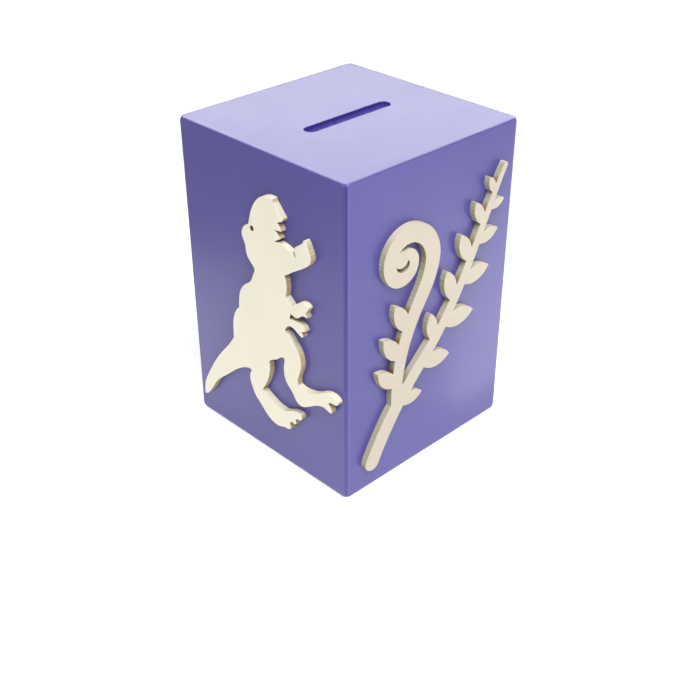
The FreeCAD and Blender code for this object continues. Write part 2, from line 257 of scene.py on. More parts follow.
def sanding(angle, height, seed):
    """How far a hand-sanded upright edge is dressed back at one place."""
    fade = min(1, max(0, (height - SANDING_START) / SANDING_FADE),
               max(0, (WALL_TOP - height) / SANDING_FADE))
    wave = noise.noise(Vector((height / SANDING_PITCH, seed, 0)))
    return SANDING_DEPTH * fade * (0.5 + 0.5 * wave) * math.sin(2 * angle) ** 2


def upright_edge(side, inset, height, seed):
    """Points round an upright outer edge; side is -1 for the left one and 1 for the right."""
    centre = HALF - EDGE_ROUND
    points = []
    for i in range(FILLET_STEPS + 1):
        angle = math.radians(90 * i / FILLET_STEPS)
        radius = max(0, EDGE_ROUND - inset - sanding(angle, height, seed))
        points.append(Vector((side * (centre + radius * math.cos(angle)),
                              -centre - radius * math.sin(angle), height)))
    return points


def front_ring(inset, height, inner, seed):
    """Outline of the front or back board at one height, seen from above."""
    edge = HALF - inset
    left = upright_edge(-1, inset, height, seed)
    right = upright_edge(1, inset, height, seed + 7)[::-1]
    inside = [(edge, -LIP_FACE), (INNER, -LIP_FACE), (INNER, -inner),
              (-INNER, -inner), (-INNER, -LIP_FACE), (-edge, -LIP_FACE)]
    return left + right + [Vector((x, y, height)) for x, y in inside]


def side_ring(inset, height, inner, seed):
    """Outline of the left board at one height, seen from above."""
    corners = [(inset - HALF, -LIP_FACE), (-inner, -LIP_FACE),
               (-inner, LIP_FACE), (inset - HALF, LIP_FACE)]
    return [Vector((x, y, height)) for x, y in corners]


def wall_rows():
    """(inset, height, inner face) of a wall's rows, with the groove for the base."""
    rows = [(inset, height, INNER) for inset, height in bottom_rows()]
    groove = [(BASE_LOW.z, INNER), (BASE_LOW.z, GROOVE_FACE),
              (BASE_HIGH.z, GROOVE_FACE), (BASE_HIGH.z, INNER)]
    rows += [(0, height, inner) for height, inner in groove]
    rows += [(0, height, INNER) for height in even_steps(BASE_HIGH.z, WALL_TOP, LEVEL_STEP)[1:]]
    return rows


def corner_radius(across, along, up, at_top):
    """Radius of a softened corner; the top's rim keeps its tight turn up to the corner."""
    radius = (CORNER_REACH - EDGE_ROUND) * math.sqrt(2) + EDGE_ROUND
    if at_top:
        share = up / (up + min(across, along) + TINY)
        radius += (CORNER_REACH * math.sqrt(2) - radius) * share
    return radius


def soften_corners(bm):
    """Rounds the box's corners more than its edges, as a sanding block does."""
    for cut in CORNER_CUTS:
        planes = [((side * (HALF - cut), 0, 0), (1, 0, 0)) for side in (-1, 1)]
        planes += [((0, side * (HALF - cut), 0), (0, 1, 0)) for side in (-1, 1)]
        planes += [((0, 0, level), (0, 0, 1)) for level in (cut, HEIGHT - cut)]
        for place, normal in planes:
            everything = bm.verts[:] + bm.edges[:] + bm.faces[:]
            bmesh.ops.bisect_plane(bm, geom=everything, dist=SAME_PLACE,
                                   plane_co=place, plane_no=normal)
    inner = HALF - CORNER_REACH
    for vertex in bm.verts:
        x, y, z = vertex.co
        at_top = z > HEIGHT / 2
        level = HEIGHT - CORNER_REACH if at_top else CORNER_REACH
        up = z - level if at_top else level - z
        across, along = abs(x) - inner, abs(y) - inner
        if min(across, along, up) <= 0:
            continue
        centre = Vector((math.copysign(inner, x), math.copysign(inner, y), level))
        away = vertex.co - centre
        radius = corner_radius(across, along, up, at_top)
        if away.length > radius:
            vertex.co = centre + away.normalized() * radius


def paint_outside(bm):
    """Material 0, paint, on what shows from outside; material 1, bare board, within."""
    for face in bm.faces:
        centre = face.calc_center_median()
        reach = max(abs(centre.x), abs(centre.y))
        face.material_index = int(reach < INNER + BARE_MARGIN and centre.z > BASE_LOW.z)


def wall(name, node, outline, turn, seed, materials):
    bm = bmesh.new()
    loft(bm, [outline(inset, height, inner, seed) for inset, height, inner in wall_rows()])
    bmesh.ops.remove_doubles(bm, verts=bm.verts, dist=SAME_PLACE)
    fill_flat(bm, 2, 0)
    fill_flat(bm, 2, WALL_TOP)
    soften_corners(bm)
    paint_outside(bm)
    return finish_piece(name, bm, materials, node, turn)


def square_ring(inset, height):
    """A rounded square outline: the top's outer edge at one height."""
    points = []
    for quarter in range(4):
        turn = Matrix.Rotation(math.radians(90 * quarter), 3, "Z")
        corner = upright_edge(1, inset, height, 0)
        far_end = Vector((corner[0].x, -corner[0].y, height))
        along = [corner[0].lerp(far_end, i / TOP_EDGE_STEPS) for i in range(1, TOP_EDGE_STEPS)]
        points += [turn @ p for p in corner[::-1] + along]
    return points


def slot_ring(widen, height, rough):
    """The coin slot's outline at one height; rough is how far torn fibres may go."""
    reach = SLOT_HALF_LENGTH - SLOT_HALF_WIDTH
    radius = SLOT_HALF_WIDTH + widen
    flat = even_steps(-reach, reach, SLOT_STEP)
    arc = [math.radians(a) for a in even_steps(-90, 90, SLOT_ARC_STEP)][1:-1]
    outline = [(x, -radius) for x in flat]
    outline += [(reach + radius * math.cos(a), radius * math.sin(a)) for a in arc]
    outline += [(-x, radius) for x in flat]
    outline += [(-reach - radius * math.cos(a), -radius * math.sin(a)) for a in arc]
    points = []
    for x, y in outline:
        out = Vector((x - max(-reach, min(reach, x)), y, 0)).normalized()
        torn = sum(share * noise.noise(Vector((x / length, y + seed, height / tall)))
                   for length, tall, seed, share in SLOT_FIBRES)
        points.append(Vector((x, y, height)) + out * (rough * max(0, torn)))
    return points


def slot_sizes():
    """Half the slot's length and width, read where it leaves the top's underside."""
    points = node_points("top_panel")
    under = points[np.abs(points[:, 2] - TOP_UNDER) < 0.01]
    within = under[(np.abs(under[:, 0]) < INNER - 5) & (np.abs(under[:, 1]) < INNER - 5)]
    return np.abs(within[:, 0]).max(), np.abs(within[:, 1]).max()


SLOT_HALF_LENGTH, SLOT_HALF_WIDTH = slot_sizes()


def top_board(materials):
    bm = bmesh.new()
    rows = [(0, WALL_TOP)] + top_rim_rows()
    loft(bm, [square_ring(inset, height) for inset, height in rows])
    bmesh.ops.remove_doubles(bm, verts=bm.verts, dist=SAME_PLACE)
    step = [(-STEP_FACE, -STEP_FACE), (STEP_FACE, -STEP_FACE),
            (STEP_FACE, STEP_FACE), (-STEP_FACE, STEP_FACE)]
    loft(bm, [[Vector((x, y, z)) for x, y in step] for z in (WALL_TOP, TOP_UNDER)])
    mouth = HEIGHT - SLOT_EASE
    middle = SLOT_EASE * SLOT_MOUTH
    rings = [slot_ring(SLOT_EASE, HEIGHT, MOUTH_ROUGHNESS[0]),
             slot_ring(middle, HEIGHT - middle, MOUTH_ROUGHNESS[1])]
    rings += [slot_ring(0, z, SLOT_ROUGHNESS)
              for z in even_steps(mouth, TOP_UNDER, SLOT_ROW_STEP)[:-1]]
    rings += [slot_ring(0, TOP_UNDER, 0)]
    loft(bm, rings)
    for level in (HEIGHT, WALL_TOP, TOP_UNDER):
        fill_flat(bm, 2, level)
    soften_corners(bm)
    for face in bm.faces:
        centre = face.calc_center_median()
        in_slot = max(abs(centre.x), abs(centre.y)) < STEP_FACE and abs(face.normal.z) < 0.5
        bare = abs(centre.z - TOP_UNDER) < 0.01
        face.material_index = 2 if in_slot and centre.z < HEIGHT - SLOT_PAINT_START else int(bare)
    return finish_piece("top_board", bm, materials, "top_panel")


# ---- applied shapes -----------------------------------------------------------------
def front_edges(node, axis, level):
    """Boundary edges of a plate's front face as pairs of points in its plane."""
    mesh = frame["nodes"][node].data
    points = node_points(node)
    across, up = (1, 2) if axis == 0 else (0, 2)
    flip = -1 if axis == 0 else 1
    seen = {}
    for polygon in mesh.polygons:
        ids = list(polygon.vertices)
        if any(abs(points[i][axis] - level) > 0.01 for i in ids):
            continue
        keys = [(round(flip * points[i][across], 4), round(points[i][up], 4)) for i in ids]
        for a, b in zip(keys, keys[1:] + keys[:1]):
            seen[frozenset((a, b))] = seen.get(frozenset((a, b)), 0) + 1
    return [tuple(edge) for edge, count in seen.items() if count == 1 and len(edge) == 2]


def chained(edges):
    """Closed loops of points from loose edges."""
    beside = {}
    for a, b in edges:
        beside.setdefault(a, []).append(b)
        beside.setdefault(b, []).append(a)
    loops = []
    while beside:
        start = min(beside)
        loop, here = [start], start
        while True:
            following = beside[here].pop(0)
            beside[following].remove(here)
            if following == start:
                break
            loop.append(following)
            here = following
        for key in [k for k, v in beside.items() if not v]:
            del beside[key]
        loops.append(np.array(loop))
    return loops


def signed_area(loop):
    nxt = np.roll(loop, -1, axis=0)
    return float(np.sum(loop[:, 0] * nxt[:, 1] - nxt[:, 0] * loop[:, 1]) / 2)


def with_material_on_left(loops):
    """The outermost loop anticlockwise and every hole clockwise."""
    outer = max(loops, key=lambda loop: abs(signed_area(loop)))
    turned = []
    for loop in loops:
        wanted = 1 if loop is outer else -1
        turned.append(loop if signed_area(loop) * wanted > 0 else loop[::-1])
    return turned


def unit(vectors):
    return vectors / np.maximum(np.linalg.norm(vectors, axis=-1, keepdims=True), TINY)


def corner_places(loop):
    before = unit(loop - np.roll(loop, 1, axis=0))
    after = unit(np.roll(loop, -1, axis=0) - loop)
    turn = np.degrees(np.arccos(np.clip(np.sum(before * after, axis=1), -1, 1)))
    return np.flatnonzero(turn > CORNER_TURN)


def eased(stretch):
    """A smooth stretch between corners, sampled evenly along a curve through it."""
    length = np.concatenate(([0], np.cumsum(np.linalg.norm(np.diff(stretch, axis=0), axis=1))))
    total = length[-1]
    if total < SHORT_STRETCH:
        return np.array([stretch[0], stretch[-1]])
    places = np.array([0] + even_steps(CORNER_CLEAR, total - CORNER_CLEAR, OUTLINE_STEP) + [total])
    slope = np.gradient(stretch, length, axis=0)
    index = np.clip(np.searchsorted(length, places, "right") - 1, 0, len(stretch) - 2)
    span = (length[index + 1] - length[index])[:, None]
    t = (places - length[index])[:, None] / span
    low, high = stretch[index], stretch[index + 1]
    return ((2 * t**3 - 3 * t**2 + 1) * low + (t**3 - 2 * t**2 + t) * span * slope[index]
            + (3 * t**2 - 2 * t**3) * high + (t**3 - t**2) * span * slope[index + 1])


def resampled(loop):
    """An outline with its corners kept and even points between them."""
    corners = corner_places(loop)
    if not len(corners):
        corners = np.array([0])
    loop = np.roll(loop, -corners[0], axis=0)
    ends = list(corners - corners[0]) + [len(loop)]
    closed = np.vstack((loop, loop[:1]))
    stretches = [eased(closed[a:b + 1])[:-1] for a, b in zip(ends, ends[1:])]
    return np.vstack(stretches)


def inward(loop):
    """Direction and length of a unit inset at each point of an outline."""
    before = unit(loop - np.roll(loop, 1, axis=0))
    after = unit(np.roll(loop, -1, axis=0) - loop)
    left_before = np.stack((-before[:, 1], before[:, 0]), axis=1)
    left_after = np.stack((-after[:, 1], after[:, 0]), axis=1)
    middle = unit(left_before + left_after)
    stretch = 1 / np.clip(np.sum(middle * left_after, axis=1), 0.5, 1)
    return middle * stretch[:, None]


def nearest_edge(probe, outline):
    """Distance from each probe to the nearest point of an outline."""
    nearest = np.empty(len(probe))
    for start in range(0, len(probe), CHAR_AND_SHADE_BATCH):
        batch = slice(start, start + CHAR_AND_SHADE_BATCH)
        nearest[batch] = np.linalg.norm(probe[batch, None] - outline[None], axis=2).min(axis=1)
    return nearest


# Laser char and painted shade in narrow gaps between cut edges.
def char_and_gap_shading(loops, directions):
    """How closely each outline point faces another cut edge: 1 touching, 0 far."""
    outline = np.vstack(loops)[::CHAR_AND_SHADE_THINNING]
    darkness = []
    for loop, direction in zip(loops, directions):
        char_and_shade_here = np.zeros(len(loop))
        for reach in even_steps(CHAR_AND_SHADE_STEP, CHAR_AND_SHADE_REACH, CHAR_AND_SHADE_STEP):
            ratio = nearest_edge(loop - unit(direction) * reach, outline) / reach
            facing = np.clip((FACING - ratio) / FACING_BLUR, 0, 1)
            char_and_shade_here = np.maximum(char_and_shade_here, facing * (1 - (reach - CHAR_AND_SHADE_STEP) / CHAR_AND_SHADE_REACH))
        small_hole = np.ptp(loop, axis=0).max() < CHAR_AND_SHADE_REACH
        darkness.append(np.ones(len(loop)) if small_hole else char_and_shade_here)
    return darkness


def rib(run, depth, seed):
    """Depth of the laser's ribs at a run along the edge, between 0 and 1."""
    lean = RIB_LEAN * depth
    coarse = noise.noise(Vector(((run + lean) / RIB_PITCH, seed, 0.2 * depth)))
    fine = noise.noise(Vector(((run - lean) / (FINE_RIB_PITCH * RIB_PITCH), seed + 5, 0)))
    return min(1, max(0, RIB_LEVEL + COARSE_RIBS * coarse + FINE_RIBS * fine))


def applied_shape(name, node, axis, materials, seed):
    """A thin plate with a rolled painted front edge and ribbed cut edges, darker in narrow gaps:
    laser char and a painted shade.
    """
    low, high = extent(node)
    wall_level, front_level = high[axis], low[axis]
    thick = wall_level - front_level
    loops = with_material_on_left(chained(front_edges(node, axis, front_level)))
    loops = [resampled(loop) for loop in loops]
    directions = [inward(loop) for loop in loops]
    char_and_shade_per_loop = char_and_gap_shading(loops, directions)
    # distance out from the wall, inset, share of the ribs' depth
    rows = [(0, 0, 0.8), (0.2, 0, 1), (0.35 * thick, 0, 1), (0.65 * thick, 0.012, 0.9),
            (thick - 2.2 * RIM_EASE, 0, 0.5), (thick - RIM_EASE, 0.01, 0.12),
            (thick - 0.3 * RIM_EASE, 0.3 * RIM_EASE, 0), (thick, RIM_EASE, 0)]
    bm = bmesh.new()
    run_layer = bm.verts.layers.float.new("edge_run")
    cut_layer = bm.verts.layers.float.new("cut_edge")
    # cut edges near another edge: laser char and a painted shade in the gap
    char_and_shade_layer = bm.verts.layers.float.new("char_and_gap_shade")
    up_layer = bm.verts.layers.float.new("faces_up")
    for loop, direction, char_and_shade in zip(loops, directions, char_and_shade_per_loop):
        run = np.concatenate(([0], np.cumsum(np.linalg.norm(np.diff(loop, axis=0), axis=1))))
        in_hole = char_and_shade.min() == 1
        upward = np.full(len(loop), -1.0) if in_hole else -unit(direction)[:, 1]
        rings = []
        for out, inset, share in rows:
            ring = []
            for i, (point, into) in enumerate(zip(loop, direction)):
                depth = inset + RIB_DEPTH * share * rib(run[i], out, seed)
                a, b = point + into * depth
                spot = (wall_level - out, -a, b) if axis == 0 else (a, wall_level - out, b)
                vertex = bm.verts.new(spot)
                vertex[run_layer] = run[i]
                vertex[cut_layer] = float(out <= thick - RIM_EASE + SAME_PLACE)
                vertex[char_and_shade_layer] = char_and_shade[i]
                vertex[up_layer] = upward[i]
                ring.append(vertex)
            rings.append(ring)
        for lower, upper in zip(rings, rings[1:]):
            strip(bm, lower, upper)
    fill_flat(bm, axis, wall_level)
    fill_flat(bm, axis, front_level)
    return finish_piece(name, bm, materials, node)


# ---- base and stopper ---------------------------------------------------------------
def circle(radius, height):
    turn = 2 * math.pi / LATHE_STEPS
    return [Vector((radius * math.cos(i * turn), radius * math.sin(i * turn), height))
            for i in range(LATHE_STEPS)]


def hole_radius():
    points = node_points("base_panel")
    return np.hypot(points[:, 0], points[:, 1]).min()


def ply_base(materials):
    """The base panel, with an eased rim and the plies showing in the coin hole."""
    radius, ease = hole_radius(), BASE_EASE
    low, high, reach = BASE_LOW.z, BASE_HIGH.z, BASE_HIGH.x
    bm = bmesh.new()
    sides = even_steps(-reach, reach, BASE_STEP)
    outline = [(x, -reach) for x in sides[:-1]] + [(reach, y) for y in sides[:-1]]
    outline += [(-x, reach) for x in sides[:-1]] + [(-reach, -y) for y in sides[:-1]]
    loft(bm, [[Vector((x, y, z)) for x, y in outline] for z in (low, high)])
    rim = [(ease, low), (0.3 * ease, low + 0.3 * ease), (0, low + ease)]
    rim += [(0, z) for z in even_steps(low + ease, high - ease, 1.0)[1:]]
    rim += [(0.3 * ease, high - 0.3 * ease), (ease, high)]
    loft(bm, [circle(radius + widen, z) for widen, z in rim])
    fill_flat(bm, 2, low)
    fill_flat(bm, 2, high)
    for face in bm.faces:
        centre = face.calc_center_median()
        upright = abs(face.normal.z) < 0.5
        face.material_index = int(upright and math.hypot(centre.x, centre.y) < reach / 2)
    return finish_piece("ply_base", bm, materials, "base_panel")


def well_ring(side, radius, half_bar, inset, height):
    """Half-round hollow beside the stopper's grip bar, as an outline at one height."""
    arc_radius, chord = radius - inset, half_bar + inset
    start = math.asin(chord / arc_radius)
    span = math.pi - 2 * start
    angles = [start + span * i / WELL_STEPS for i in range(WELL_STEPS + 1)]
    arc = [(arc_radius * math.cos(a), side * arc_radius * math.sin(a)) for a in angles]
    reach = arc_radius * math.cos(start)
    back = [(reach * (2 * i / WELL_STEPS - 1), side * chord) for i in range(1, WELL_STEPS)]
    return [Vector((x, y, height)) for x, y in arc + back]


def quarter_turn(middle, level, radius, start):
    """Points (radius, height) round a quarter circle about a point of the profile."""
    angles = [math.radians(angle) for angle in even_steps(start, start + 90, 15)]
    return [(middle + radius * math.cos(a), level + radius * math.sin(a)) for a in angles]


def stopper_rib(neck, level):
    """Points (radius, height) up one rounded gripping rib."""
    points = []
    for angle in even_steps(0, 180, 22.5):
        a = math.radians(angle)
        swell = math.sin(a) ** 0.7 if 0 < angle < 180 else 0
        height = level + STOPPER_RIB_HALF - STOPPER_RIB_HALF * math.cos(a)
        points.append((neck + STOPPER_RIB * swell, height))
    return points


def rubber_stopper(material):
    """Moulded plug: rounded flange, two rounded gripping ribs, and a bar across its cup."""
    low, high = extent("stopper")
    flange, under, crown = high.x, low.z, high.z
    points = node_points("stopper")
    inside = points[(points[:, 2] > BASE_LOW.z + 0.1)]
    neck = np.hypot(inside[:, 0], inside[:, 1]).max() - STOPPER_NECK
    middle = flange - FLANGE_ROUND
    profile = quarter_turn(middle, under + FLANGE_ROUND, FLANGE_ROUND, 270)
    profile += quarter_turn(middle, BASE_LOW.z - FLANGE_ROUND, FLANGE_ROUND, 0)
    for level in (BASE_LOW.z, BASE_HIGH.z - 2 * STOPPER_RIB_HALF):
        profile += stopper_rib(neck, level)
    profile += quarter_turn(neck - CROWN_ROUND, crown - CROWN_ROUND, CROWN_ROUND, 0)
    profile += [(neck * share, crown) for share in (0.8, 0.5, 0.25)]
    bm = bmesh.new()
    rings = loft(bm, [circle(radius, z) for radius, z in profile])
    tip = bm.verts.new((0, 0, crown))
    for i, vertex in enumerate(rings[-1]):
        bm.faces.new((vertex, rings[-1][(i + 1) % LATHE_STEPS], tip))
    roof = crown - CROWN_THICK
    rows = [(inset, under + up) for inset, up in MOUTH_ROWS]
    rows += [(inset, roof - down) for inset, down in ROOF_ROWS]
    for side in (-1, 1):
        loft(bm, [well_ring(side, neck - CUP_WALL, HALF_GRIP_BAR, inset, z) for inset, z in rows])
    fill_flat(bm, 2, under)
    fill_flat(bm, 2, roof)
    return finish_piece("rubber_stopper", bm, [material], "stopper")


# ---- materials ----------------------------------------------------------------------
class Shader:
    """A few short ways to build one material's nodes."""

    def __init__(self, name):
        self.material = bpy.data.materials.new(name)
        self.material.use_nodes = True
        self.nodes = self.material.node_tree.nodes
        self.links = self.material.node_tree.links
        self.bsdf = self.nodes["Principled BSDF"]
        self.place = self.nodes.new("ShaderNodeTexCoord").outputs["Object"]

    def link(self, source, target):
        self.links.new(source, target)

    def stretched(self, scale):
        """Object coordinates in metres, multiplied along each axis."""
        mapping = self.nodes.new("ShaderNodeMapping")
        mapping.inputs["Scale"].default_value = scale
        self.link(self.place, mapping.inputs["Vector"])
        return mapping.outputs["Vector"]

    def speckle(self, scale, detail=3.0, roughness=0.55, vector=None):
        """Noise from about 0 to 1; scale is in features per metre."""
        texture = self.nodes.new("ShaderNodeTexNoise")
        texture.inputs["Scale"].default_value = scale
        texture.inputs["Detail"].default_value = detail
        texture.inputs["Roughness"].default_value = roughness
        self.link(vector or self.place, texture.inputs["Vector"])
        return texture.outputs["Fac"]

    def spread(self, value, low, high, to_low=0.0, to_high=1.0):
        """Maps a value's range to another one, clamped."""
        node = self.nodes.new("ShaderNodeMapRange")
        node.inputs["From Min"].default_value = low
        node.inputs["From Max"].default_value = high
        node.inputs["To Min"].default_value = to_low
        node.inputs["To Max"].default_value = to_high
        self.link(value, node.inputs["Value"])
        return node.outputs["Result"]

    def math(self, operation, a, b):
        node = self.nodes.new("ShaderNodeMath")
        node.operation = operation
        for socket, value in zip(node.inputs, (a, b)):
            if isinstance(value, (int, float)):
                socket.default_value = value
            else:
                self.link(value, socket)
        return node.outputs["Value"]

    def blend(self, share, first, second):
        """Mixes two colours; each is a colour or a socket."""
        node = self.nodes.new("ShaderNodeMix")
        node.data_type = "RGBA"
        self.link(share, node.inputs["Factor"])
        for name, value in (("A", first), ("B", second)):
            socket = [s for s in node.inputs if s.name == name and s.type == "RGBA"][0]
            if isinstance(value, tuple):
                socket.default_value = (*value, 1)
            else:
                self.link(value, socket)
        return [s for s in node.outputs if s.type == "RGBA"][0]

    def attribute(self, name):
        node = self.nodes.new("ShaderNodeAttribute")
        node.attribute_name = name
        return node.outputs["Fac"]

    def axes(self):
        node = self.nodes.new("ShaderNodeSeparateXYZ")
        self.link(self.place, node.inputs["Vector"])
        return node.outputs

    def bump(self, height, distance, strength=1.0, under=None):
        node = self.nodes.new("ShaderNodeBump")
        node.inputs["Distance"].default_value = distance
        node.inputs["Strength"].default_value = strength
        self.link(height, node.inputs["Height"])
        if under is not None:
            self.link(under, node.inputs["Normal"])
        return node.outputs["Normal"]

    def done(self, colour, roughness, normal):
        self.link(colour, self.bsdf.inputs["Base Color"])
        self.link(roughness, self.bsdf.inputs["Roughness"])
        self.link(normal, self.bsdf.inputs["Normal"])
        return self.material


# Colours are linear; a pair is the darkest and the lightest tone of one surface.
PAINT = (0.077, 0.065, 0.272)
PAINT_DEEP = (0.074, 0.0625, 0.264)
# lighter paint flecks, and also the painted highlight line beside the upright edges
PAINT_FLECK_AND_HIGHLIGHT = (0.100, 0.084, 0.330)
# painted shade on the upright edges' rounds
PAINT_EDGE_SHADE = (0.026, 0.017, 0.150)
# the slot's walls: a painted shade just under the rim, a painted light lower down
SLOT_PAINTED_SHADE = ((0.022, 0.014, 0.190), (0.032, 0.022, 0.250))
SLOT_PAINTED_LIGHT = ((0.120, 0.098, 0.470), (0.190, 0.160, 0.600))
SLOT_BLEND = (0.8, 3.2)    # the slot's painted shade under the rim gives way to painted light between these depths, in millimetres
FIBREBOARD = ((0.30, 0.19, 0.10), (0.46, 0.32, 0.19))
CREAM = (0.80, 0.755, 0.60)
CUT_WOOD = (0.60, 0.475, 0.26)
FRONT_CREAM = (0.53, 0.467, 0.37)
FRONT_CUT_WOOD = (0.455, 0.44, 0.285)
# dark brown of laser char, also painted as the shade in narrow gaps
CHAR_AND_GAP_SHADE_COLOUR = (0.190, 0.082, 0.020)
BIRCH = ((0.60, 0.42, 0.25), (0.74, 0.57, 0.37))
BIRCH_PORES = (0.38, 0.24, 0.12)
BIRCH_LAYERS = ((0.24, 0.14, 0.07), (0.62, 0.45, 0.27))
PLY_PAIR = 0.0024          # thickness of two plies, in metres
RUBBER = ((0.018, 0.018, 0.020), (0.045, 0.044, 0.046))
STEEL = ((0.50, 0.50, 0.51), (0.62, 0.62, 0.63))
FLOOR = ((0.86, 0.86, 0.87), (0.88, 0.88, 0.88))


def shade(colour, factor):
    return tuple(channel * factor for channel in colour)


def lavender_paint():
    """Sprayed satin paint on fibreboard: faint clouds, orange peel and a fine tooth.

    Along the upright edges a painted shade darkens the left and right faces' side of the round,
    weaker low down, with a painted highlight line beside it.
    """
    s = Shader("lavender_paint")
    colour = s.blend(s.spread(s.speckle(22, 3), 0.35, 0.65), PAINT, PAINT_DEEP)
    colour = s.blend(s.spread(s.speckle(900, 2), 0.62, 0.80, 0, 0.3), colour, PAINT_FLECK_AND_HIGHLIGHT)
    axes = s.axes()
    across, along = [s.math("ABSOLUTE", s.math("SUBTRACT", axes[a], AXIS[i]), 0)
                     for i, a in enumerate("XY")]
    round_start = HALF - EDGE_ROUND
    on_side = s.spread(along, (round_start - 0.4) * MM, (HALF - 0.3) * MM)
    short_of_front = s.spread(across, (round_start + 0.35) * MM, (round_start + 0.6) * MM)
    shade_weaker_low_down = s.spread(axes["Z"], 0, HEIGHT * MM, 0.2, 1.0)
    # edge: painted shade on the side faces' part of each upright round, weaker low down
    edge = s.math("MULTIPLY", s.math("MINIMUM", on_side, short_of_front), shade_weaker_low_down)
    # a painted highlight line on the front and back faces, where each upright round starts
    nearly_there = s.spread(across, (round_start - 0.5) * MM, (round_start - 0.1) * MM)
    painted_highlight_line = s.math("SUBTRACT", nearly_there, short_of_front)
    colour = s.blend(painted_highlight_line, colour, PAINT_FLECK_AND_HIGHLIGHT)
    colour = s.blend(edge, colour, PAINT_EDGE_SHADE)
    satin = s.spread(s.speckle(60, 3), 0.3, 0.7, 0.32, 0.34)
    roughness = s.math("ADD", satin, s.math("MULTIPLY", edge, 0.25))
    peel = s.bump(s.speckle(520, 2), 0.00004, 0.35)
    tooth = s.bump(s.speckle(2600, 3), 0.00002, 0.5, peel)
    return s.done(colour, roughness, tooth)


def slot_paint():
    """Paint soaked into the slot's cut walls: rougher, with upright tool marks, and painted shade
    under the rim giving way to painted light lower down.
    """
    s = Shader("slot_paint")
    marks = s.spread(s.speckle(1500, 3, 0.6, s.stretched((1.0, 1.0, 0.2))), 0.35, 0.68)
    start, end = SLOT_BLEND
    # painted shade near the rim, painted light deeper in the slot
    depth = s.spread(s.axes()["Z"], (HEIGHT - start) * MM, (HEIGHT - end) * MM)
    colour = s.blend(depth, s.blend(marks, *SLOT_PAINTED_SHADE), s.blend(marks, *SLOT_PAINTED_LIGHT))
    roughness = s.spread(marks, 0, 1, 0.62, 0.5)
    return s.done(colour, roughness, s.bump(marks, 0.00008, 0.6))


def bare_board():
    """Unpainted fibreboard inside the box."""
    s = Shader("bare_board")
    fibres = s.speckle(1600, 6, 0.7)
    colour = s.blend(s.spread(fibres, 0.3, 0.7), *FIBREBOARD)
    roughness = s.spread(fibres, 0.3, 0.7, 0.75, 0.9)
    return s.done(colour, roughness, s.bump(fibres, 0.0001, 0.7))


def cream_and_cut_edge(name, cream, wood, overspray_light_start):
    """Cream paint on thin ply: bare ribbed cut edges, with overspray and a painted light where
    they face up, and laser char with a painted shade in narrow gaps.
    """
    s = Shader(name)
    face = s.blend(s.spread(s.speckle(26, 3), 0.35, 0.65), cream, shade(cream, 0.965))
    face = s.blend(s.spread(s.speckle(1100, 2), 0.60, 0.78, 0, 0.2), face, shade(cream, 1.05))
    along = s.nodes.new("ShaderNodeCombineXYZ")
    s.link(s.attribute("edge_run"), along.inputs["X"])
    ribs = s.spread(s.speckle(1.5, 2, 0.5, along.outputs["Vector"]), 0.42, 0.60)
    bare = s.blend(ribs, shade(wood, 0.58), wood)
    bare = s.blend(s.spread(s.speckle(150, 3), 0.40, 0.70, 0, 0.5), bare, shade(wood, 0.85))
    # Up-facing cut edges: cream overspray, plus a painted light that brightens an edge the more it
    # faces up.
    overspray_and_light = s.blend(s.spread(s.attribute("faces_up"), 0.5, 1.0),
                      shade(cream, 0.64), shade(cream, 1.04))
    overspray_and_light = s.blend(s.spread(ribs, 0, 1, 0.12, 0), overspray_and_light, shade(wood, 0.8))
    edge = s.blend(s.spread(s.attribute("faces_up"), overspray_light_start, overspray_light_start + 0.4),
                   bare, overspray_and_light)
    # Cut edges near another edge darken: laser char, and a painted shade in the narrow gap, less
    # where they face up.
    char_and_gap_shade = s.spread(s.attribute("char_and_gap_shade"), 0.15, 0.9, 0, 0.9)
    less_where_facing_up = s.spread(s.attribute("faces_up"), 0.5, 1.0, 1, 0.35)
    edge = s.blend(s.math("MULTIPLY", char_and_gap_shade, less_where_facing_up), edge, CHAR_AND_GAP_SHADE_COLOUR)
    cut = s.spread(s.attribute("cut_edge"), 0.05, 0.95)
    colour = s.blend(cut, face, edge)
    roughness = s.spread(cut, 0, 1, 0.50, 0.78)
    grain = s.speckle(300, 4, 0.6, s.stretched((3.0, 3.0, 0.25)))
    fine = s.bump(s.speckle(2200, 3), 0.00003, 0.5)
    return s.done(colour, roughness, s.bump(grain, 0.00005, 0.5, fine))


def ply_face():
    """Bare birch ply: long soft figure with pores."""
    s = Shader("birch_ply")
    figure = s.speckle(60, 5, 0.6, s.stretched((0.25, 3.0, 1.0)))
    pores = s.speckle(700, 3, 0.6, s.stretched((0.10, 3.0, 1.0)))
    colour = s.blend(s.spread(figure, 0.32, 0.68), *BIRCH)
    colour = s.blend(s.spread(pores, 0.58, 0.74, 0, 0.55), colour, BIRCH_PORES)
    roughness = s.spread(pores, 0.3, 0.7, 0.55, 0.72)
    return s.done(colour, roughness, s.bump(pores, 0.00008, 0.6))


def ply_layers():
    """The coin hole's wall: the base's plies, light and dark in turn."""
    s = Shader("birch_ply_layers")
    layers = s.math("SINE", s.math("MULTIPLY", s.axes()["Z"], 2 * math.pi / PLY_PAIR), 0)
    fibres = s.speckle(1500, 3)
    tone = s.spread(s.math("ADD", s.math("MULTIPLY", layers, 0.35), fibres), 0.1, 0.95)
    colour = s.blend(tone, *BIRCH_LAYERS)
    roughness = s.spread(fibres, 0.3, 0.7, 0.7, 0.85)
    return s.done(colour, roughness, s.bump(fibres, 0.00012, 0.6))


